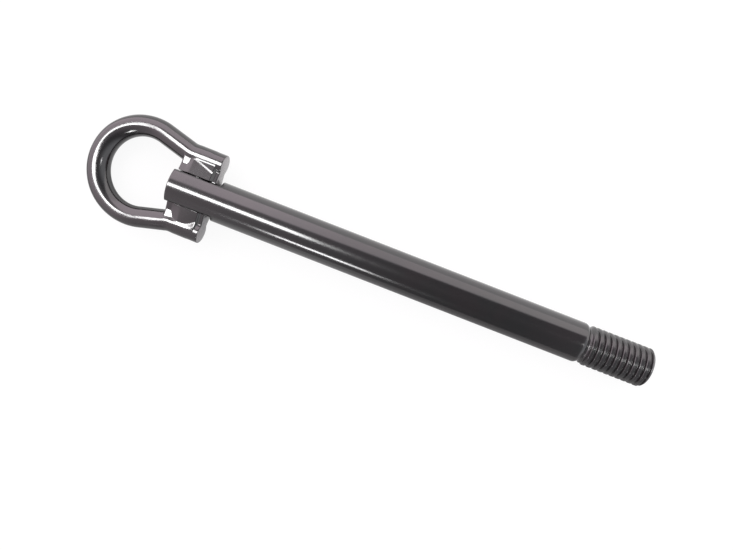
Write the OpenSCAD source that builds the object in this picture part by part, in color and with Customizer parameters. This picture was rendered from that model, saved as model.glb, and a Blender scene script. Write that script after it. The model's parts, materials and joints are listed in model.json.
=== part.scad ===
// Folding tow eye: a turned shank with a coarse thread at one end, and a forged ring
// that swings on a cross pin at the other. Millimetres. The shank lies along X with its
// thread towards +X, and the part rests as it lies on a table: the shank on its round
// side and the ring drooped until its far end touches.

/* [Shank] */
// Diameter of the plain shank
rod_d = 20; // [17:0.5:24]
// Length of the plain shank, from the head end to the shoulder
rod_l = 213.2; // [150:0.1:260]
// Chamfer around the head end
head_chamfer = 0.6; // [0.2:0.1:1.5]
// Width across the two milled flats
flats_w = 15.6; // [13:0.1:17]
// Length of the flats, from the head end
flats_l = 23.6; // [21.5:0.1:30]

/* [Thread] */
// Outside diameter of the thread
thread_d = 19.8; // [16:0.1:24]
// Length of the threaded end, from the undercut to the tip
thread_l = 31.3; // [20:0.1:45]
// Depth of the thread, which the undercut clears
thread_depth = 1.15; // [0.6:0.05:1.6]
// Width of the undercut behind the thread
undercut_w = 2.2; // [1:0.1:4]
// Radial drop of the taper where the shank ends
shoulder_drop = 1; // [0.5:0.1:1.2]
// Length of that taper along the shank
shoulder_taper = 1.7; // [0.8:0.1:3]
// Chamfer around the tip
tip_chamfer = 1.5; // [0.5:0.1:2.5]

/* [Pivot] */
// Diameter of the pivot pin
pin_d = 7; // [5:0.1:8]
// Distance from the head end to the pin's axis
pin_from_end = 11.2; // [10:0.1:11.8]
// Radial running gap of the pin in the shank
pin_gap = 0.05; // [0.02:0.01:0.1]
// Radial interference of the pin in the ears
pin_press = 0.01; // [0.005:0.005:0.02]

/* [Ring] */
// Diameter of the round bar that the ring is forged from
bar_d = 10.4; // [8.5:0.1:12]
// Clear width of the eye, measured inside the ring
eye_w = 34; // [30:0.5:42]
// Distance from the pin's axis to the middle of the eye
eye_reach = 28.4; // [26:0.1:36]
// Angle at which each neck leaves the circle of the eye
neck_angle = 15; // [12:1:24]
// Radius of the bend from the neck into the ear, at the middle of the bar
bend_r = 12; // [8:0.5:20]

/* [Ears] */
// Width over both ears
ears_w = 45; // [42:0.1:52]
// Gap between each ear and the flat that it swings on
ear_gap = 0.15; // [0.1:0.05:0.6]
// Distance from the pin's axis to the front face of an ear, towards the eye
ear_front = 9.4; // [8.6:0.1:11]
// Distance from the pin's axis to the end face of an ear, towards the thread
ear_back = 10.1; // [9:0.1:10.6]
// Radius about the pin that the ears' corners are trimmed to
swing_r = 11.5; // [11:0.1:11.9]
// Height of the ear between its boss and its rib
ear_h = 9.7; // [8.5:0.1:10]
// Height of the boss where the pin enters the ear
boss_h = 12.2; // [11:0.1:13]
// Radius of the foot of the boss, seen from above
boss_foot_r = 7.8; // [6:0.1:9]
// Height of the ledge between the boss and the end face
ledge_h = 7.9; // [7:0.1:8.4]
// Length of that ledge
ledge_l = 3.1; // [2:0.1:3.6]

/* [Hidden] */

coat = "#2b2728";
pin_coat = "#343031";

rod_r = rod_d / 2;
bar_r = bar_d / 2;
pin_r = pin_d / 2;
thread_r = thread_d / 2;
undercut_r = thread_r - thread_depth - 0.1;

// places along the shank, with zero where the full thread begins
shoulder_x = -undercut_w;
head_x = shoulder_x - rod_l;
pin_x = head_x + pin_from_end;
tip_x = thread_l;
run_in = thread_r - undercut_r;

// the ring's plan, with the pin's axis at zero and the eye towards -X
inner_y = flats_w / 2 + ear_gap;
outer_y = ears_w / 2;
rib_y = outer_y - bar_r;
eye_r = eye_w / 2 + bar_r;
neck_x = -eye_reach + eye_r * sin(neck_angle);
neck_y = eye_r * cos(neck_angle);
bend_drop = bend_r * (1 - cos(neck_angle));
neck_l = (neck_y - rib_y - bend_drop) / sin(neck_angle);
rib_x = neck_x + neck_l * cos(neck_angle) + bend_r * sin(neck_angle);

// how far a straight bar laps over a bend, and how little it stands proud of it
bar_lap = 0.3;
bar_step = 0.04;

// the ring hangs on the pin until its far end is as low as the shank's underside
droop = asin((rod_r - bar_r) / (eye_reach + eye_r));

// turned blank, as half of its outline from the head end to the tip
module shank_blank() {
    rotate([0, 90, 0]) rotate_extrude($fn = 96) polygon([
        [0, head_x], [rod_r - head_chamfer, head_x], [rod_r, head_x + head_chamfer],
        [rod_r, shoulder_x - shoulder_taper], [rod_r - shoulder_drop, shoulder_x],
        [undercut_r, shoulder_x], [undercut_r, -run_in], [thread_r, 0],
        [thread_r, tip_x - tip_chamfer], [thread_r - tip_chamfer, tip_x], [0, tip_x]]);
}

// block that mills one flat
module flat_cutter(side) {
    translate([head_x - 1, side > 0 ? flats_w / 2 : -flats_w / 2 - rod_r, -rod_r - 1])
        cube([flats_l + 1, rod_r, 2 * rod_r + 2]);
}

module shank() {
    color(coat) difference() {
        shank_blank();
        flat_cutter(1);
        flat_cutter(-1);
        translate([pin_x, 0, 0]) rotate([90, 0, 0])
            cylinder(h = rod_d + 2, r = pin_r + pin_gap, center = true, $fn = 64);
    }
}

// bar that closes the eye, from one neck around the far end to the other
module eye_bar() {
    translate([-eye_reach, 0, 0])
        rotate([0, 0, 90 - neck_angle])
            rotate_extrude(angle = 180 + 2 * neck_angle, $fn = 120)
                translate([eye_r, 0]) circle(r = bar_r, $fn = 48);
}

// straight length of bar along +X, a hair thicker than the bends that it laps over
module straight_bar(length) {
    translate([-bar_lap, 0, 0]) rotate([0, 90, 0])
        cylinder(h = length + bar_lap, r = bar_r + bar_step, $fn = 48);
}

// straight neck, the bend that turns it parallel to the shank, and the rib of the ear
module leg_bar() {
    translate([neck_x, neck_y, 0]) rotate([0, 0, -neck_angle]) straight_bar(neck_l + bar_lap);
    translate([rib_x, rib_y + bend_r, 0])
        rotate([0, 0, -90 - neck_angle])
            rotate_extrude(angle = neck_angle, $fn = 120)
                translate([bend_r, 0]) circle(r = bar_r, $fn = 48);
    translate([rib_x, rib_y, 0]) straight_bar(ear_back - rib_x);
}

// boss around the pin: a flat cone above and one below, each over the same round foot
module boss() {
    slope = (boss_h - ear_h) / 2 / boss_foot_r;
    for (side = [0, 1]) translate([0, inner_y, 0]) mirror([0, 0, side])
        cylinder(h = boss_h / 2, r1 = boss_h / 2 / slope, r2 = 0, $fn = 96);
}

// block between the flat and the rib, from one place along the ear to another
module ear_block(x0, x1, height) {
    translate([x0, inner_y, -height / 2]) cube([x1 - x0, rib_y - inner_y, height]);
}

// forged ear on the +Y side: a block with a boss on it, and a lower ledge at the end face
module ear() {
    ledge_x = ear_back - ledge_l;
    intersection() {
        union() {
            ear_block(-ear_front, ledge_x, ear_h);
            ear_block(-ear_front, ear_back, ledge_h);
            intersection() {
                ear_block(-ear_front, ledge_x, boss_h);
                boss();
            }
        }
        rotate([-90, 0, 0]) cylinder(h = outer_y, r = swing_r, $fn = 96);
    }
}

// one half of the ring beside the eye, before its hole is drilled
module leg(side) {
    mirror([0, side < 0 ? 1 : 0, 0]) {
        leg_bar();
        ear();
    }
}

module towing_ring() {
    color(coat) translate([pin_x, 0, 0]) rotate([0, -droop, 0]) difference() {
        union() {
            eye_bar();
            leg(1);
            leg(-1);
        }
        rotate([90, 0, 0])
            cylinder(h = ears_w + 2, r = pin_r - pin_press, center = true, $fn = 64);
    }
}

// end view of the two ribs and all that lies between them
module ribs_outline() {
    square([2 * rib_y, bar_d], center = true);
    for (side = [-1, 1]) translate([side * rib_y, 0]) circle(r = bar_r, $fn = 96);
}

// plain dowel whose ends are ground to the ribs' round outer sides
module pivot_pin() {
    color(pin_coat) translate([pin_x, 0, 0]) rotate([0, -droop, 0]) intersection() {
        rotate([90, 0, 0]) cylinder(h = ears_w + 2, r = pin_r, center = true, $fn = 64);
        rotate([90, 0, 90]) linear_extrude(height = pin_d + 2, center = true) ribs_outline();
    }
}

shank();
towing_ring();
pivot_pin();
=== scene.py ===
# %% [markdown]
# # A folding tow eye
# The object is a steel shank with a coarse thread at one end and a forged ring that swings on
# a cross pin at the other. All of it wears one glossy black dip coat, so nearly everything
# that the eye sees is a reflection. The lesson is therefore about two things: surfaces smooth
# enough to carry a clean reflection, and lamps that give the coat something to reflect.

# %% Load the frame
import json

import bpy
import numpy as np
from mathutils import Matrix, Vector


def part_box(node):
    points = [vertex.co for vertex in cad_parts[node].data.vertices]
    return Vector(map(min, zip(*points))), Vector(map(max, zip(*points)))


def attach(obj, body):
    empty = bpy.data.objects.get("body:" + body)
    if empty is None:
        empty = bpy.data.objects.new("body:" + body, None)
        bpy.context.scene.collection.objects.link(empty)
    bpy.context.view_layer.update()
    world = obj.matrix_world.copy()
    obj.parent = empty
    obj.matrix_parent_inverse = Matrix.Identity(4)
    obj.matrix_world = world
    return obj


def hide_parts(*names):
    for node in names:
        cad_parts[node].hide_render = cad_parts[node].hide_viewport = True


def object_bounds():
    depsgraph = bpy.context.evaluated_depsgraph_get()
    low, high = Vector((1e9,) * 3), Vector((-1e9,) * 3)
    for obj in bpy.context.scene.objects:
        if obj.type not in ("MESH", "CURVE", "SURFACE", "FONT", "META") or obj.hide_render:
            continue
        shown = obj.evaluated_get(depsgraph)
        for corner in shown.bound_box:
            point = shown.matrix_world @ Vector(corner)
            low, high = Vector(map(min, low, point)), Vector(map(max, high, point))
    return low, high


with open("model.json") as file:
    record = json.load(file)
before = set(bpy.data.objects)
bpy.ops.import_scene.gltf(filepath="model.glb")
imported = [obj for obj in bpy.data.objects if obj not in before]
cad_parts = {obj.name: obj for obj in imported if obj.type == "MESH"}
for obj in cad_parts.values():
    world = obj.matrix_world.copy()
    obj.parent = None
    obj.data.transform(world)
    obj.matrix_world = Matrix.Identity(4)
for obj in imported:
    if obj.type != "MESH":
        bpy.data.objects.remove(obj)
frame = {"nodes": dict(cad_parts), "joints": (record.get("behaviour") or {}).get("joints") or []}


def in_mm(box):
    """The six numbers of a box in millimetres, for printing."""
    return [round(1000 * v, 1) for v in (*box[0], *box[1])]


cad_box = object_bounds()
print("frame:", sorted(frame["nodes"]), "box in mm:", in_mm(cad_box))

# %% [markdown]
# ## Sizes
# Every size is a real one. The places come from the frame: the ends of the shank and its
# radius from the shank's box, and the pin's axis from the hinge. What the box can't tell,
# such as the depth of the thread, is written here once, in metres.

# %% Sizes from the frame
MM = 0.001
HAIR = 0.00001

shank_low, shank_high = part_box("shank")
hinge = frame["joints"][0]
pin_x = hinge["pos_m"][0]
head_x = shank_low.x
tip_x = shank_high.x
rod_r = shank_high.z

print("shank from", round(head_x, 4), "to", round(tip_x, 4), "radius", round(rod_r, 4))
print("pin at", round(pin_x, 4))

# %% [markdown]
# ## Small helpers for meshes
# A mesh is a list of points and a list of faces that name them. On a grid both follow from
# the grid's shape, so they are worked out as whole arrays and handed to Blender in one go.
# The enclosed volume is a good test: it comes out negative when the faces look inwards.


# %% Grids and pieces
def grid_quads(rows, columns):
    """Corner numbers of the quads on a grid whose columns close into a ring."""
    row, column = np.meshgrid(np.arange(rows - 1), np.arange(columns), indexing="ij")
    beside = (column + 1) % columns
    corners = [row * columns + column, row * columns + beside,
               (row + 1) * columns + beside, (row + 1) * columns + column]
    return np.stack(corners, axis=-1).reshape(-1, 4)


def enclosed_volume(points, faces):
    """Sum of the volumes of the pyramids from the origin to each face, split into triangles."""
    first = points[faces[:, 0]]
    total = 0.0
    for turn in range(1, faces.shape[1] - 1):
        second, third = points[faces[:, turn]], points[faces[:, turn + 1]]
        total += np.einsum("ij,ij->i", first, np.cross(second, third)).sum() / 6
    return total


def new_piece(name, points, quads, triangles, material, body):
    """Mesh object from points, quads and triangles, turned to face outwards, on a body."""
    volume = enclosed_volume(points, quads) + enclosed_volume(points, triangles)
    if volume < 0:
        quads, triangles = quads[:, ::-1], triangles[:, ::-1]
    mesh = bpy.data.meshes.new(name)
    mesh.vertices.add(len(points))
    mesh.vertices.foreach_set("co", points.astype(np.float32).ravel())
    loops = np.concatenate([quads.ravel(), triangles.ravel()]).astype(np.int32)
    sides = np.concatenate([np.full(len(quads), 4), np.full(len(triangles), 3)])
    starts = np.concatenate([[0], np.cumsum(sides)[:-1]]).astype(np.int32)
    mesh.loops.add(len(loops))
    mesh.loops.foreach_set("vertex_index", loops)
    mesh.polygons.add(len(sides))
    mesh.polygons.foreach_set("loop_start", starts)
    mesh.update(calc_edges=True)
    mesh.validate()
    mesh.shade_smooth()
    mesh.materials.append(material)
    piece = bpy.data.objects.new(name, mesh)
    bpy.context.scene.collection.objects.link(piece)
    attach(piece, body)
    print(name, "has", len(points), "points and encloses", round(abs(volume) * 1e6, 2), "cm3")
    return piece


# %% Smooth steps and joins
def smooth_step(t):
    """Rises from 0 to 1 as t does, level at both ends: 3 t squared minus 2 t cubed."""
    t = np.clip(t, 0, 1)
    return t * t * (3 - 2 * t)


def smooth_min(a, b, width):
    """The smaller of a and b, less a hump where they are within a width of each other: the
    width times how much each of them counts, which rounds the corner between them."""
    mix = np.clip(0.5 + 0.5 * (b - a) / width, 0, 1)
    return b * (1 - mix) + a * mix - width * mix * (1 - mix)


def smooth_max(a, b, width):
    """The larger of a and b, with the corner between them rounded over a width."""
    return -smooth_min(-a, -b, width)


# %% [markdown]
# ## Shader sums as plain Python
# A procedural material is mostly arithmetic. Here an output socket is wrapped in a small
# class whose plus, minus and times signs add the Math nodes, so a pattern reads as a formula.
# Any other node comes from one method that takes its type, its settings and its inputs.


# %% Values and trees
class Value:
    """An output socket that takes part in Python sums."""

    def __init__(self, tree, socket):
        self.tree = tree
        self.socket = socket

    def math(self, operation, first, second):
        """Result of one Math node on two values or numbers."""
        return self.tree.node("ShaderNodeMath", {"operation": operation}, {0: first, 1: second})

    def __add__(self, other):
        return self.math("ADD", self, other)

    def __radd__(self, other):
        return self.math("ADD", other, self)

    def __sub__(self, other):
        return self.math("SUBTRACT", self, other)

    def __rsub__(self, other):
        return self.math("SUBTRACT", other, self)

    def __mul__(self, other):
        return self.math("MULTIPLY", self, other)

    def __rmul__(self, other):
        return self.math("MULTIPLY", other, self)

    def limit(self, low, high, to_low=0.0, to_high=1.0):
        """Goes smoothly from to_low to to_high as the value goes from low to high."""
        ends = {"Value": self, "From Min": low, "From Max": high, "To Min": to_low, "To Max": to_high}
        return self.tree.node("ShaderNodeMapRange", {"interpolation_type": "SMOOTHSTEP"}, ends)


class Tree:
    """The node tree of a material or of the world."""

    def __init__(self, owner):
        owner.use_nodes = True
        self.nodes = owner.node_tree.nodes
        self.links = owner.node_tree.links
        self.nodes.clear()

    def node(self, kind, settings=None, inputs=None, output=0):
        """A new node's output. Its settings come first, then a link or a number per input."""
        made = self.nodes.new(kind)
        for name, value in (settings or {}).items():
            setattr(made, name, value)
        for key, value in (inputs or {}).items():
            if isinstance(value, Value):
                self.links.new(value.socket, made.inputs[key])
            else:
                made.inputs[key].default_value = value
        return Value(self, made.outputs[output]) if made.outputs else None

    def noise(self, place, size, detail=2.0, roughness=0.5):
        """Cloudy pattern whose lumps are about one size across, from 0 to 1."""
        settings = {"noise_dimensions": "3D"}
        inputs = {"Vector": place, "Scale": 1 / size, "Detail": detail, "Roughness": roughness}
        return self.node("ShaderNodeTexNoise", settings, inputs)

    def split(self, vector):
        """The x, y and z of a vector, as three values."""
        first = self.node("ShaderNodeSeparateXYZ", None, {0: vector})
        return [Value(self, output) for output in first.socket.node.outputs]

    def colour(self, amount, first, second):
        """Blend from one colour to another as the amount goes from 0 to 1."""
        first, second = (end if isinstance(end, Value) else (*end, 1) for end in (first, second))
        settings = {"data_type": "RGBA"}
        return self.node("ShaderNodeMix", settings, {0: amount, 6: first, 7: second}, output=2)


# %% [markdown]
# ## The dip coat
# The real finish is a black coat that the whole part was dipped in. It is a dielectric, like
# a varnish, so its gloss comes from its index of refraction and not from a metal. It would be
# easy to stop at a black colour and a low roughness, but a dipped coat is never quite level:
# it has a fine ripple and slightly duller patches. On the thread it is duller still and
# speckled. Where a mask says so, a grey is painted into the colour as a painted reflection.

# %% Coat colours and gloss
COAT_INDEX = 1.8
WARM_BLACK = (0.0135, 0.0105, 0.0115)
DEEP_BLACK = (0.0085, 0.0080, 0.0085)
# grey painted on the ears' end faces, a painted reflection of the bright table
PAINTED_REFLECTION_GREY = (0.26, 0.25, 0.25)
CLOUD_SIZE = 14 * MM
CLOUD_COLOUR_RANGE = (0.35, 0.65)
CLOUD_GLOSS_RANGE = (0.3, 0.7)
GRAIN_SIZE = 0.35 * MM
GRAIN_SHARE = 0.04
SPECK_SIZE = 0.9 * MM
SPECK_SHARE = 1.6
THREAD_DULLING = 0.1
THREAD_START = (-3 * MM, -1 * MM)


def dip_coat(name, gloss, dull, ripple_size, ripple_height, painted_reflection_mask=None):
    """Black coat. Its roughness drifts from gloss to dull in clouds. Its height is a ripple,
    plus a share of a fine grain, plus a share of specks on the thread, where it is duller by
    THREAD_DULLING. Where the given mask function gives 1, the colour is a painted reflection:
    a flat grey in place of the black."""
    material = bpy.data.materials.new(name)
    tree = Tree(material)
    place = tree.node("ShaderNodeTexCoord", output=3)
    ripple = tree.noise(place, ripple_size, detail=2.0)
    cloud = tree.noise(place, CLOUD_SIZE, detail=3.0, roughness=0.6)
    grain = tree.noise(place, GRAIN_SIZE, detail=1.0)
    speck = tree.noise(place, SPECK_SIZE, detail=2.0)
    on_thread = tree.split(place)[0].limit(*THREAD_START)
    height = ripple + grain * GRAIN_SHARE + speck * on_thread * SPECK_SHARE
    relief = {"Height": height, "Distance": ripple_height, "Strength": 1.0}
    colour = tree.colour(cloud.limit(*CLOUD_COLOUR_RANGE), WARM_BLACK, DEEP_BLACK)
    # painted reflection: where the mask gives 1, the black is replaced by a flat grey
    if painted_reflection_mask:
        colour = tree.colour(painted_reflection_mask(tree, place), colour, PAINTED_REFLECTION_GREY)
    shader = tree.node("ShaderNodeBsdfPrincipled", None, {
        "Base Color": colour,
        "Roughness": cloud.limit(*CLOUD_GLOSS_RANGE, gloss, dull) + on_thread * THREAD_DULLING,
        "IOR": COAT_INDEX,
        "Normal": tree.node("ShaderNodeBump", None, relief)})
    tree.node("ShaderNodeOutputMaterial", None, {"Surface": shader})
    print("coat:", name, "with roughness from", gloss, "to", dull)
    return material


shank_coat = dip_coat("shank_coat", gloss=0.13, dull=0.17, ripple_size=5 * MM, ripple_height=0.01 * MM)

# %% [markdown]
# ## The shank
# On a lathe this piece is one profile turned about the axis, then two flats are milled and a
# thread is rolled. The same idea works here: the surface is a radius that depends on the place
# along the axis and on the angle around it. The turned profile gives the first radius, the
# flats and the thread each give another, and the smallest of them is the metal that is left.

# %% Shank sizes
flats_half = 7.8 * MM
flats_l = 23.6 * MM
flats_edge = 0.03 * MM
head_chamfer = 0.35 * MM
edge_round = 0.25 * MM

thread_r = 9.9 * MM
pitch = 3.0 * MM
crest_w = 1.25 * MM
flank_w = 0.82 * MM
flank_straight = 0.8
crest_round = 0.22 * MM
thread_depth = 1.15 * MM
first_crest_x = 3.1 * MM
undercut_w = 2.2 * MM
undercut_gap = 0.1 * MM
shoulder_drop = 1.0 * MM
shoulder_taper = 1.7 * MM
tip_chamfer = 1.5 * MM

shoulder_x = -undercut_w
undercut_r = thread_r - thread_depth - undercut_gap
run_in = thread_r - undercut_r
flats_end = head_x + flats_l


# %% Turned profile
def rounded_corners(corners, radii, steps=5):
    """Outline through corners. Each corner with a radius becomes a curve that is drawn from
    the point a radius before it to the point a radius after it, and leans on the corner: the
    three points are weighed by (1 - t) squared, 2 t (1 - t) and t squared."""
    points = [np.array(corners[0])]
    for before, corner, after, radius in zip(corners, corners[1:], corners[2:], radii[1:]):
        before, corner, after = np.array(before), np.array(corner), np.array(after)
        back = (before - corner) / np.linalg.norm(before - corner)
        ahead = (after - corner) / np.linalg.norm(after - corner)
        start, end = corner + radius * back, corner + radius * ahead
        t = np.linspace(0, 1, steps)[:, None]
        curve = (1 - t) ** 2 * start + 2 * t * (1 - t) * corner + t ** 2 * end
        points.extend(curve if radius else [corner])
    points.append(np.array(corners[-1]))
    return np.array(points)


turned = [
    (head_x, 0.0), (head_x, rod_r - head_chamfer), (head_x + head_chamfer, rod_r),
    (shoulder_x - shoulder_taper, rod_r), (shoulder_x, rod_r - shoulder_drop),
    (shoulder_x, undercut_r), (-run_in, undercut_r), (0.0, thread_r),
    (tip_x - tip_chamfer, thread_r), (tip_x, thread_r - tip_chamfer), (tip_x, 0.0)]
turned_rounds = MM * np.array([0, 0.15, 0.2, 0.6, 0.12, 0.2, 0.3, 0.2, 0.3, 0.3])
profile = rounded_corners(turned, turned_rounds)
print("turned profile:", len(profile), "points")

# %% [markdown]
# The profile above has few points, because straight metal needs none. The thread does: its
# crests wind around, so they cross the grid at a slant, and the grid there has to be fine.
# The stations are the profile's own points, plus even steps wherever something else is cut.


# %% Stations along the shank
def along_profile(outline, extra):
    """Places along an outline, as x and radius: its own points, and others at a given x. The
    run is the length of outline up to each point, and it is what is interpolated. Where x
    stands still, a tiny rise keeps it in order."""
    run = np.concatenate([[0], np.cumsum(np.linalg.norm(np.diff(outline, axis=0), axis=1))])
    rising = np.maximum.accumulate(outline[:, 0] + 1e-9 * np.arange(len(outline)))
    extra_run = np.interp(extra, rising, run)
    every = np.unique(np.round(np.concatenate([run, extra_run]), 8))
    return np.interp(every, run, outline[:, 0]), np.interp(every, run, outline[:, 1])


edge_stations = np.linspace(head_x + 0.02 * MM, head_x + edge_round + 0.1 * MM, 6)
flat_stations = np.linspace(head_x + 1 * MM, flats_end - 1 * MM, 8)
step_stations = flats_end + MM * np.array([-0.6, -0.3, -0.1, -HAIR / MM, HAIR / MM, 0.1, 0.3, 0.6])
body_stations = np.linspace(flats_end + 2 * MM, shoulder_x - shoulder_taper - 2 * MM, 24)
thread_stations = np.arange(-run_in, tip_x, 0.105 * MM)
cut_stations = [edge_stations, flat_stations, step_stations, body_stations, thread_stations]
station_x, station_r = along_profile(profile, np.concatenate(cut_stations))

# two more rings of points on each end face, at these shares of its radius
inner_r = np.array([0.35, 0.75]) * station_r[1]
station_x = np.concatenate([[head_x] * 2, station_x[1:-1], [tip_x] * 2])
station_r = np.concatenate([inner_r, station_r[1:-1], inner_r[::-1]])
print("shank stations:", len(station_x))


# %% Flats and thread
def flat_radius(x, angle):
    """Radius at which a ray from the axis meets a flat: half the width over the ray's cosine.
    Near the head end the flat sets back in a quarter circle, as the end's edge does."""
    into_edge = np.clip(head_x + edge_round - x, 0, None)
    set_back = edge_round - np.sqrt(np.clip(edge_round ** 2 - into_edge ** 2, 0, None))
    flat = (flats_half - set_back) / np.maximum(np.abs(np.cos(angle)), 1e-3)
    return np.where(x < flats_end, flat, 1.0)


def thread_radius(x, angle):
    """Radius of a right-hand thread: a crest every pitch, moved along by one pitch each turn.
    The depth grows evenly along a flank, with a share of a smooth step mixed in."""
    turns = (x - first_crest_x) / pitch - angle / (2 * np.pi)
    from_crest = pitch * np.abs(turns - np.round(turns))
    slope = (from_crest - crest_w / 2) / flank_w
    depth = flank_straight * np.clip(slope, 0, 1) + (1 - flank_straight) * smooth_step(slope)
    return np.where(x > -run_in - HAIR, thread_r - thread_depth * depth, 1.0)


# rays around the axis, with more of them beside the four edges of the flats
edge_angle = np.arccos(flats_half / rod_r)
edge_fan = np.radians(np.linspace(-2.4, 2.4, 7))
near_edges = np.concatenate([
    side + turn * edge_angle + edge_fan for side in (0, np.pi) for turn in (-1, 1)]) % (2 * np.pi)
even_angles = np.linspace(0, 2 * np.pi, 196, endpoint=False)
angles = np.unique(np.concatenate([even_angles, near_edges]))

x, angle = np.meshgrid(station_x, angles, indexing="ij")
radius = np.repeat(station_r[:, None], len(angles), axis=1)
radius = smooth_min(radius, thread_radius(x, angle), crest_round)
radius = smooth_min(radius, flat_radius(x, angle), flats_edge)
radius = np.maximum(radius, 0)
print("shank grid:", x.shape)

# %% Shank piece
shank_points = np.stack([x, radius * np.cos(angle), radius * np.sin(angle)], axis=-1).reshape(-1, 3)
rows, columns = x.shape
poles = np.array([[head_x, 0, 0], [tip_x, 0, 0]])
around = np.arange(columns)
beside = (around + 1) % columns
last_row = (rows - 1) * columns
head_fan = np.stack([np.full(columns, rows * columns), beside, around], axis=1)
tip_fan = np.stack([np.full(columns, rows * columns + 1), last_row + around, last_row + beside], axis=1)
shank = new_piece("shank_turned", np.concatenate([shank_points, poles]), grid_quads(rows, columns),
                  np.concatenate([head_fan, tip_fan]), shank_coat, "shank")
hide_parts("shank")

# %% [markdown]
# ## The ring as a distance
# The ring is a forging: a round bar bent into an eye, whose ends were squeezed between dies
# into ears. A forging has no crisp joins, because metal flows into the die with a generous
# radius everywhere. Sculpting that by hand is slow. A distance function does it in a few
# lines: each form says how far a point is from it, and a rounded minimum melts them together.
# The ring is described flat, with the pin's axis at zero and the eye towards -X. It droops
# afterwards, until its far end is as low as the shank.

# %% Ring sizes
bar_r = 5.2 * MM
crown_r = 5.5 * MM
eye_reach = 28.4 * MM
eye_r = 22.2 * MM
neck_turn = np.radians(15)
bend_r = 12 * MM
ears_half = 22.5 * MM
rib_y = ears_half - bar_r
inner_y = 7.86 * MM
ear_front = 9.4 * MM
ear_back = 10.1 * MM
pin_r = 3.5 * MM
ring_droop = np.arcsin((rod_r - crown_r) / (eye_reach + eye_r))
print("the ring droops by", round(float(np.degrees(ring_droop)), 2), "degrees")

# %% Centre line of the bar
neck_at = np.array([-eye_reach + eye_r * np.sin(neck_turn), eye_r * np.cos(neck_turn)])
bend_drop = bend_r * (1 - np.cos(neck_turn))
neck_l = (neck_at[1] - rib_y - bend_drop) / np.sin(neck_turn)
neck_way = np.array([np.cos(neck_turn), -np.sin(neck_turn)])
bend_at = neck_at + neck_l * neck_way
bend_centre = np.array([bend_at[0] + bend_r * np.sin(neck_turn), rib_y + bend_r])
print("straight neck:", round(float(neck_l / MM), 2), "mm")


# %% Distance to the bar
def bar_thickness(x):
    """Radius of the bar: a little thicker towards the far end of the eye."""
    return bar_r + (crown_r - bar_r) * smooth_step(-(x + eye_reach) / eye_r)


def bar_distance(x, y, z):
    """Distance to a round bar: the distance to its centre line, less its radius. The centre
    line is an arc around the eye, a straight neck, a bend and the rib of the ear."""
    from_eye = np.hypot(x + eye_reach, y)
    on_arc = np.arctan2(x + eye_reach, y) < neck_turn
    to_arc = np.where(on_arc, np.abs(from_eye - eye_r), np.hypot(x - neck_at[0], y - neck_at[1]))
    along = np.clip((x - neck_at[0]) * neck_way[0] + (y - neck_at[1]) * neck_way[1], 0, neck_l)
    to_neck = np.hypot(x - neck_at[0] - along * neck_way[0], y - neck_at[1] - along * neck_way[1])
    turn = np.clip(np.arctan2(bend_centre[0] - x, bend_centre[1] - y), 0, neck_turn)
    bend_x = bend_centre[0] - bend_r * np.sin(turn)
    bend_y = bend_centre[1] - bend_r * np.cos(turn)
    to_bend = np.hypot(x - bend_x, y - bend_y)
    to_rib = np.hypot(np.minimum(x - bend_centre[0], 0), y - rib_y)
    to_line = np.minimum(np.minimum(to_arc, to_neck), np.minimum(to_bend, to_rib))
    return np.hypot(to_line, z) - bar_thickness(x)


# %% [markdown]
# ## The tops of the ears
# An ear is highest at the flat that it swings on, and falls towards the rib along its outer
# side. The two ears differ a little, as forged ones do. On one the fall ends at a fold, which
# curves around the pin, and on the other it goes on evenly to the rib, but for one small
# slanting step. A slope of a few hundredths decides where a lamp shows on such a face, so each
# of them has its own value.

# %% Ear sizes
cheek_half = 6.1 * MM
cheek_fall = 0.12 * MM
cheek_reach = 8 * MM
fold_x = -1.5 * MM
fold_far_y = 16.0 * MM
fold_near_y = 11.5 * MM
fold_bend_front = 0.2
fold_bend_back = 0.05
fold_drop = 0.22 * MM
fold_fall = 0.05
fold_join = 0.12 * MM
front_half = 4.65 * MM
front_reach = 4
terrace_rise = 0.05
terrace_join = 0.1 * MM
rib_fall = 0.1
step_x = -6.0 * MM
step_blend = 2.5 * MM
step_far_y = 16.2 * MM
step_slant = 0.33
step_rise = 0.13 * MM
step_width = 1.1 * MM
cheek_slope = 0.16
ledge_half = 4.6 * MM
ledge_l = 2.4 * MM
ledge_slope = 0.2
ledge_step = 1.2 * MM
rib_join = 0.1 * MM
flat_join = 0.05 * MM
front_join = 0.7 * MM


# %% Distance to an ear
def folded_top(x, y):
    """Height of a top that ends at a fold. It falls in a straight line from the cheek to the
    fold, and from there to the rib it follows the lower of two nearly level planes. The fold
    lies nearer the flat by the square of the distance from fold_x, and lower at the front."""
    from_fold = (x - fold_x) / MM
    bend = np.where(from_fold > 0, fold_bend_back, fold_bend_front)
    fold_y = np.maximum(fold_far_y - bend * from_fold ** 2 * MM, fold_near_y)
    fold_half = bar_r + fold_fall * (rib_y - fold_y) - fold_drop
    fold_half = fold_half + (front_half - fold_half) * smooth_step(-from_fold / front_reach)
    cheek = cheek_half - cheek_fall * (x / cheek_reach) ** 2
    fall = (cheek - fold_half) / (fold_y - inner_y)
    from_rib = bar_r + rib_fall * (rib_y - y)
    terrace = smooth_min(fold_half + terrace_rise * (y - fold_y), from_rib, terrace_join)
    return smooth_max(fold_half + fall * (fold_y - y), terrace, fold_join)


def even_top(x, y):
    """Height of a top that falls evenly from the flat, with one slanting step up in it."""
    step_y = step_far_y - step_slant * (x - step_x)
    step = step_rise * smooth_step((y - step_y) / step_width + 0.5)
    return cheek_half - cheek_slope * (y - inner_y) + step


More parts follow.
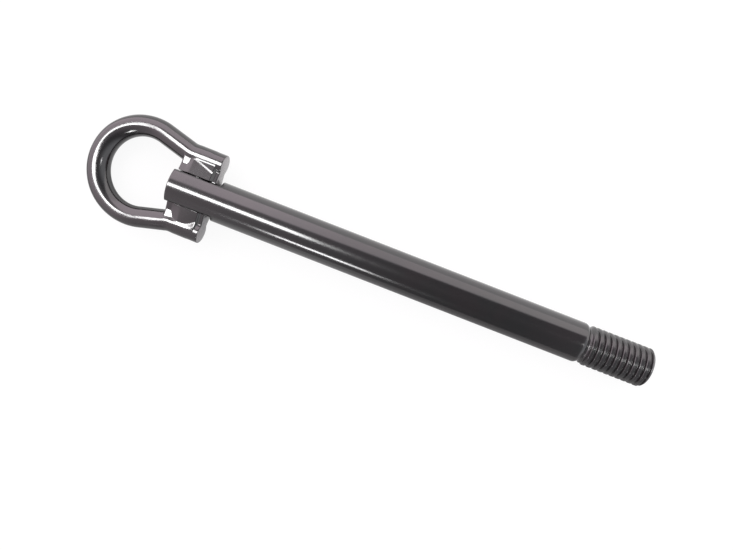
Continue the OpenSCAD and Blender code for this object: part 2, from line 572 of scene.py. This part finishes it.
def ear_distance(x, y, z, even):
    """Distance to an ear: the height above its top, the distance past the rib's middle, past
    the flat or past the front face, whichever is largest. The top is the folded one, or past
    step_x the even one where even is 1, and it steps down to a ledge at the end face."""
    top = folded_top(x, y)
    top = top + (even_top(x, y) - top) * even * smooth_step((x - step_x) / step_blend)
    ledge = ledge_half - ledge_slope * (y - inner_y)
    past_step = x - ear_back + ledge_l
    top = top + np.minimum(ledge - top, 0) * smooth_step(past_step / ledge_step + 0.5)
    shape = np.abs(z) - top
    shape = smooth_max(shape, y - rib_y, rib_join)
    shape = smooth_max(shape, inner_y - y, flat_join)
    return smooth_max(shape, -ear_front - x, front_join)


# %% [markdown]
# ## The whole ring
# The crest of the bar lies a little off its middle, as it does when one die sits a little off
# the other: outwards at the far end of the eye, and sideways along the necks. The crest is
# also a trace flatter than round. None of this changes the outline, but it moves the long
# highlight that runs along the crest.

# %% Crest sizes
die_shift_x = 1.2 * MM
die_shift_y = 0.45 * MM
neck_start_x = -45 * MM
neck_blend = 15 * MM
neck_shift = 1.7
neck_end_x = -14 * MM
neck_end_share = 0.4
ear_start_x = -13 * MM
ear_blend = 6 * MM
crest_flat = 0.05 * MM
crest_flat_on_ear = 0.55
crest_join = 0.1 * MM
pin_cover = 0.1 * MM
pin_cover_fade = 2 * MM
ear_join = 0.3 * MM
end_join = 0.6 * MM


# %% Distance to the ring
def crest_shift(x, y):
    """How far the crest lies towards +Y. On the -Y side the neck's crest lies the other way,
    by the shift times neck_shift, of which a share fades away towards the ear."""
    near_ear = smooth_step((x - neck_end_x) / ear_blend)
    on_neck = smooth_step((x - neck_start_x) / neck_blend) * (1 - neck_end_share * near_ear)
    return die_shift_y * (1 - np.where(y < 0, neck_shift * on_neck, 0))


def ring_distance(x, y, z):
    """Distance to the ring: the smaller of the distances to the bar and to the ear, joined
    smoothly, and cut off at the end faces. The shift along X grows with the square of the
    height over the middle plane, and the one along Y with its fourth power. The bar's crest
    is cut flat, fully along the necks, by a share on the +Y ear, and not at all on the -Y ear
    or at the far end. Over the pin the coat stands a little proud, and covers its end."""
    lift = np.clip(z / bar_r, 0, 1) ** 2
    far = smooth_step(-(x + eye_reach) / eye_r)
    x = x + die_shift_x * lift * far
    upper_side = np.where(y > 0, 1.0, 0.0)
    y = np.abs(y - crest_shift(x, y) * lift ** 2)
    cover = pin_cover * (1 - smooth_step((np.hypot(x, z) - pin_r) / pin_cover_fade))
    on_ear = smooth_step((x - ear_start_x) / ear_blend)
    flat_share = (1 - far) * (1 - on_ear * (1 - crest_flat_on_ear * upper_side))
    above_flat = z - bar_thickness(x) + crest_flat * flat_share
    bar = smooth_max(bar_distance(x, y, z) - cover, above_flat, crest_join)
    shape = smooth_min(bar, ear_distance(x, y, z, upper_side), ear_join)
    return smooth_max(shape, x - ear_back, end_join)


# %% [markdown]
# ## The ring's coat
# The ring wears the same coat as the shank, with a stronger ripple, because a forged surface
# is rougher under it. On the ears' end faces a grey is painted, as a painted reflection of the
# bright table, through a mask along the drooped ring.


# %% Coat of the ring
def painted_reflection_on_ear_ends(tree, place):
    """1 on the end faces of the ears, where a grey reflection is painted, else 0, by the
    distance from the pin along the drooped ring: x times the cosine of the droop, plus z times
    its sine."""
    x, _, z = tree.split(place)
    along = (x - pin_x) * float(np.cos(ring_droop)) + z * float(np.sin(ring_droop))
    return along.limit(ear_back - 0.25 * MM, ear_back - 0.05 * MM)


# the ring's coat, with a grey painted reflection on the ears' end faces
ring_coat = dip_coat("ring_coat", gloss=0.13, dull=0.17, ripple_size=3.5 * MM,
                     ripple_height=0.02 * MM, painted_reflection_mask=painted_reflection_on_ear_ends)

# %% [markdown]
# ## The ring as a surface
# The distance only says where the metal is. To get a clean mesh, a section is carried along
# the bar, and from a core line inside each section rays go out until the distance is zero.
# Halving the step again and again finds that place for all rays at once, to a hair. The
# sections lie close together where the surface turns quickly: at the end faces and at the
# ears' front edge.

# %% Path along the bar
END_STEPS = np.array([0.004, 0.03, 0.09, 0.17, 0.27, 0.4, 0.55, 0.75, 1.0, 1.3, 1.65])
BEFORE_FRONT = np.array([-1.1, -0.85, -0.63, -0.45, -0.3, -0.2, -0.12, -0.06, -0.02])
AFTER_FRONT = np.array([0.02, 0.06, 0.12, 0.2, 0.3, 0.42, 0.56, 0.72, 0.9, 1.1, 1.35, 1.6, 1.9, 2.2])
FRONT_MARGIN = 1.4 * MM
EAR_STATIONS = 70
NECK_STATIONS = 26
EYE_STATIONS = 90


def path_of_half():
    """Points and inward directions along the bar's centre line, from the end of an ear to the
    far end of the eye, on the +Y side. The sections stay square to the ear along all of it,
    then lean over along the neck, and point at the middle of the eye along the arc."""
    ends = ear_back - MM * END_STEPS
    ear = np.linspace(ends[-1], -ear_front + FRONT_MARGIN, EAR_STATIONS)[1:]
    front = -ear_front - MM * np.concatenate([BEFORE_FRONT, AFTER_FRONT])
    neck = np.linspace(front[-1], neck_at[0], NECK_STATIONS)[1:]
    near_x = np.concatenate([ends, ear, front, neck])
    bend_turn = np.arcsin(np.clip((bend_centre[0] - near_x) / bend_r, 0, np.sin(neck_turn)))
    past_bend = np.clip(bend_at[0] - near_x, 0, None)
    near_y = bend_centre[1] - bend_r * np.cos(bend_turn) + past_bend * np.tan(neck_turn)
    arc_turn = np.linspace(neck_turn, -np.pi / 2, EYE_STATIONS)[1:]
    x = np.concatenate([near_x, -eye_reach + eye_r * np.sin(arc_turn)])
    y = np.concatenate([near_y, eye_r * np.cos(arc_turn)])
    swing = (front[-1] - near_x) / (front[-1] - neck_at[0])
    lean = np.concatenate([neck_turn * smooth_step(swing), arc_turn])
    inward = np.stack([-np.sin(lean), -np.cos(lean)], axis=-1)
    return np.stack([x, y], axis=-1), inward


# %% Rays to the surface
HALVINGS = 36


def cast(origin, way, reach):
    """Distance along each ray at which it leaves the ring, between zero and the reach. The
    middle of what is left is tried again and again, and the half that holds the surface is
    kept."""
    low, high = np.zeros(origin.shape[:-1]), np.full(origin.shape[:-1], reach)
    for _ in range(HALVINGS):
        middle = (low + high) / 2
        place = origin + middle[..., None] * way
        inside = ring_distance(place[..., 0], place[..., 1], place[..., 2]) < 0
        low, high = np.where(inside, middle, low), np.where(inside, high, middle)
    return (low + high) / 2


# %% Sections of the ring
WIDEST = 14 * MM
HIGHEST = 12 * MM
CORE_DEPTH = 1.5 * MM
CORE_SHARE = 0.4

outer_turn = np.linspace(0, np.pi / 2, 18)
top_share = np.linspace(0, 1, 30)[1:]
fan_turn = np.radians([10, 20, 29, 36, 38, 39.5, 41, 42.5, 44, 45.5, 47, 56, 66, 78, 90])
face_share = np.linspace(0, 1, 13)[1:]


def ring_sections(side, over):
    """Halves of all sections on one side of the ring (1 or -1 along Y), above the middle plane
    or under it (1 or -1), as an array of stations by points. Inside each section a core line
    goes from the bar's middle inwards, and up at its end. The rays leave it in four groups:
    a quarter fan outwards, straight up, a quarter fan at the core's corner, and inwards."""
    centre, inward = path_of_half()
    centre, inward = centre * [1, side], inward * [1, side]
    level = np.zeros((len(centre), 1))
    axis = np.concatenate([centre, level], axis=1)
    inwards = np.concatenate([inward, level], axis=1)
    up = np.array([0.0, 0.0, float(over)])
    core = cast(axis, inwards, WIDEST) - CORE_DEPTH
    height = cast(axis + core[:, None] * inwards, np.broadcast_to(up, axis.shape), HIGHEST)
    core_top = np.maximum(height - CORE_DEPTH, CORE_SHARE * height)
    core, core_top = core[:, None], core_top[:, None]

    def rays(inset, rise, way_in, way_up):
        """Starts and directions of rays, from places and directions inwards and upwards."""
        parts = np.broadcast_arrays(inset, rise, way_in, way_up)
        inset, rise, way_in, way_up = (part[..., None] for part in parts)
        origin = axis[:, None] + inset * inwards[:, None] + rise * up
        way = way_in * inwards[:, None] + way_up * up
        return origin, np.broadcast_to(way, origin.shape)

    groups = [
        rays(0, 0, -np.cos(outer_turn), np.sin(outer_turn)),
        rays(core * top_share, 0, 0, 1),
        rays(core, core_top, np.sin(fan_turn), np.cos(fan_turn)),
        rays(core, core_top * (1 - face_share), 1, 0)]
    origin = np.concatenate([group[0] for group in groups], axis=1)
    way = np.concatenate([group[1] for group in groups], axis=1)
    return origin + cast(origin, way, WIDEST)[..., None] * way


tops = np.concatenate([ring_sections(1, 1), ring_sections(-1, 1)[-2::-1]])
bottoms = np.concatenate([ring_sections(1, -1), ring_sections(-1, -1)[-2::-1]])
loops = np.concatenate([tops, bottoms[:, -2:0:-1]], axis=1)
print("ring sections:", loops.shape[0], "with", loops.shape[1], "points each")

# %% [markdown]
# The section's first point is the outermost one and its middle point the innermost, so the
# flat end of each ear is closed by strips that join every top point to the one below it.


# %% Ring piece
SHARP_ANGLE = 35


def end_strips(first, count, top_count):
    """Faces that close a section: quads that join two neighbours on top to the two below
    them, and a triangle at the outermost point and at the innermost one."""
    top = np.arange(1, top_count - 2)
    quads = first + np.stack([top, top + 1, count - top - 1, count - top], axis=1)
    innermost = top_count - 1
    ends = first + np.array([[0, 1, count - 1], [innermost, innermost + 1, innermost - 1]])
    return quads, ends


stations, count = loops.shape[:2]
droop = Matrix.Rotation(-ring_droop, 3, "Y")
ring_points = loops.reshape(-1, 3) @ np.array(droop).T + np.array([pin_x, 0, 0])
first_quads, first_ends = end_strips(0, count, tops.shape[1])
last_quads, last_ends = end_strips((stations - 1) * count, count, tops.shape[1])
ring_quads = np.concatenate([grid_quads(stations, count), first_quads[:, ::-1], last_quads])
ring_ends = np.concatenate([first_ends[:, ::-1], last_ends])
ring = new_piece("ring_forging", ring_points, ring_quads, ring_ends, ring_coat, "ring")
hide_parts("towing_ring")
ring.data.set_sharp_from_angle(angle=np.radians(SHARP_ANGLE))

# %% [markdown]
# ## The pin
# The cross pin is a plain dowel, and its CAD solid already has the right form. It only needs
# its own finish, so the coat goes into the solid's material slot.

# %% Pin finish
pin_coat = dip_coat("pin_coat", gloss=0.16, dull=0.28, ripple_size=1.2 * MM, ripple_height=0.01 * MM)
pin = frame["nodes"]["pivot_pin"]
pin.data.materials.clear()
pin.data.materials.append(pin_coat)

# %% [markdown]
# ## Lamps
# Black gloss shows the room, so the highlights in the photograph tell where its lights were.
# The coat shows a long bright light over the eye and the end of the shank, which two lamps
# make here, a low one on the near side, and a small far one beyond the thread. They are seen
# in reflections only. The plain light on the object comes from the sky, so that a colour
# renders about as it is written.


# %% Lamps for the reflections
def lamp(name, centre, aim, width, height, radiance):
    """Rectangular lamp of a given radiance, which sends out pi times radiance times area. It
    is left out of the diffuse light and hidden from the camera."""
    light = bpy.data.lights.new(name, "AREA")
    light.shape = "RECTANGLE"
    light.size = width
    light.size_y = height
    light.energy = np.pi * radiance * width * height
    holder = bpy.data.objects.new(name, light)
    holder.location = centre
    holder.rotation_euler = (Vector(aim) - Vector(centre)).to_track_quat("-Z", "Y").to_euler()
    holder.visible_camera = False
    holder.visible_diffuse = False
    bpy.context.scene.collection.objects.link(holder)
    print(name, "sends out", round(float(light.energy), 2), "W")


lamp("strip_above", centre=(-0.4225, -0.015, 1.0), aim=(-0.4225, -0.015, 0),
     width=0.355, height=0.24, radiance=20)
lamp("strip_over_eye", centre=(-0.6975, -0.05, 1.0), aim=(-0.6975, -0.05, 0),
     width=0.195, height=0.31, radiance=20)
lamp("low_lamp", centre=(-0.30, -1.82, 1.12), aim=(-0.1, 0, 0), width=0.34, height=0.28, radiance=18)
lamp("far_lamp", centre=(0.72, 0.05, 1.5), aim=(-0.24, 0, 0), width=0.2, height=0.12, radiance=14)

# %% [markdown]
# ## The sky
# A bright wall stands on the far side, along the upper edge of the shank, and a second bright
# part lies beyond the eye. Elsewhere the room is grey, darkest on the side of the thread and
# bright again at its horizon. All of that is one sky, whose brightness is a formula of the
# direction in which a reflection looks. The camera itself sees plain white instead.

# %% Sky
WALL_LEAN = 0.92
WARM_ROOM, COOL_ROOM = (1.0, 0.92, 0.97), (0.94, 0.96, 1.0)
WARM_WALL, COOL_WALL = (1.0, 0.88, 0.95), (1.0, 0.95, 0.96)
WHITE = (1.0, 1.0, 1.0)

world = bpy.data.worlds.new("soft_room")
bpy.context.scene.world = world
sky = Tree(world)
toward_x, toward_y, toward_z = sky.split(sky.node("ShaderNodeTexCoord", output=0))

# the wall, whose lower edge slants, and the bright part beyond the eye
wall = (toward_y - toward_z * (toward_x + WALL_LEAN)).limit(-0.14, 0.10)
behind = toward_x.limit(-0.58, -0.36, 1, 0)
bright = 1 - (1 - wall) * (1 - behind)

# brightness of both, strongest by the eye, and of the grey room elsewhere
glow = toward_x.limit(-0.2, 0.02, 2.6, 1.85) * toward_y.limit(-0.9, 0.45, 0.35, 1)
room = toward_x.limit(-0.38, 0.14, 0.76, 0.21) + toward_x.limit(0.22, 0.75, 0, 0.85)
level = bright * (glow - room) + room

# the room and the wall are a little warm, and less so towards the thread
room_tint = sky.colour(toward_x.limit(-0.3, 0.2), WARM_ROOM, COOL_ROOM)
wall_tint = sky.colour(toward_x.limit(-0.3, 0.3), WARM_WALL, COOL_WALL)
tint = sky.colour(bright, room_tint, wall_tint)
seen = sky.node("ShaderNodeLightPath", output="Is Camera Ray")
shown = {"Color": sky.colour(seen, tint, WHITE), "Strength": level * (1 - seen) + seen}
sky.node("ShaderNodeOutputWorld", None, {"Surface": sky.node("ShaderNodeBackground", None, shown)})
print("sky nodes:", len(sky.nodes))

# %% [markdown]
# ## The table
# The table is white to the camera and keeps the object's shadow. The lower sides of a glossy
# part mirror it, so what reflections see of it is a painted glow of its own: a little less
# under the eye than under the shank, and much less on the near side, most of all by the
# thread, where it is a painted shadow.

# %% Table
FLOOR_HALF = 4.0
FLOOR_SIDES = ((-1, -1), (1, -1), (1, 1), (-1, 1))
CAMERA_WHITE = 1.07
CAMERA_SHARE = 0.85
MIRRORED_SHARE = 0.8
PLAIN_WHITE = (0.85, 0.85, 0.85, 1)

floor_z = float(cad_box[0].z)
floor_corners = [(FLOOR_HALF * x, FLOOR_HALF * y, floor_z) for x, y in FLOOR_SIDES]
floor_mesh = bpy.data.meshes.new("table")
floor_mesh.from_pydata(floor_corners, [], [(0, 1, 2, 3)])
floor = bpy.data.objects.new("table", floor_mesh)
bpy.context.scene.collection.objects.link(floor)

table_white = bpy.data.materials.new("table_white")
table = Tree(table_white)
spot_x, spot_y, _ = table.split(table.node("ShaderNodeTexCoord", output=3))
# painted shadow and painted glow: the table's brightness in reflections, lowered on the near side
near_side_painted_shadow = spot_x.limit(-0.16, -0.07, 0.5, 0.85) * spot_y.limit(-0.008, 0, 1, 0)
mirrored_painted_glow = spot_x.limit(-0.24, -0.19, 1.05, 1.3) - near_side_painted_shadow
seen = table.node("ShaderNodeLightPath", output="Is Camera Ray")
glossy = table.node("ShaderNodeLightPath", output="Is Glossy Ray")
glowing = {"Color": (*WHITE, 1), "Strength": seen * CAMERA_WHITE + mirrored_painted_glow * glossy}
mixed = table.node("ShaderNodeMixShader", None, {
    0: seen * CAMERA_SHARE + glossy * MIRRORED_SHARE,
    1: table.node("ShaderNodeBsdfDiffuse", None, {"Color": PLAIN_WHITE}),
    2: table.node("ShaderNodeEmission", None, glowing)})
table.node("ShaderNodeOutputMaterial", None, {"Surface": mixed})
floor_mesh.materials.append(table_white)
print("table at z =", round(floor_z, 5))

# %% [markdown]
# ## Camera
# The photograph was taken from straight above the middle of the part, from about a third of
# a metre away. The object lies rolled by a few degrees there, and here it lies level, so the
# same view comes from leaning the camera about the shank's axis.

# %% Camera
PHOTO_WIDTH = 733
FOCAL_PIXELS = 700
SENSOR = 36.0
rod_slope = np.radians(21.27)
camera_lean = np.radians(7.0)
camera_over = Vector((-111.8 * MM, -7.0 * MM, 340 * MM))

lean = Matrix.Rotation(-camera_lean, 3, "X")
right = lean @ Vector((np.cos(rod_slope), np.sin(rod_slope), 0))
above = lean @ Vector((-np.sin(rod_slope), np.cos(rod_slope), 0))
back = lean @ Vector((0, 0, 1))
camera_turn = Matrix((right, above, back)).transposed().to_4x4()
camera_data = bpy.data.cameras.new("camera")
camera_data.sensor_width = SENSOR
camera_data.lens = SENSOR * FOCAL_PIXELS / PHOTO_WIDTH
camera = bpy.data.objects.new("camera", camera_data)
camera.matrix_world = Matrix.Translation(lean @ camera_over) @ camera_turn
bpy.context.scene.collection.objects.link(camera)
bpy.context.scene.camera = camera
bpy.context.scene.view_settings.view_transform = "Standard"
print("camera at", [round(v, 4) for v in camera.location])
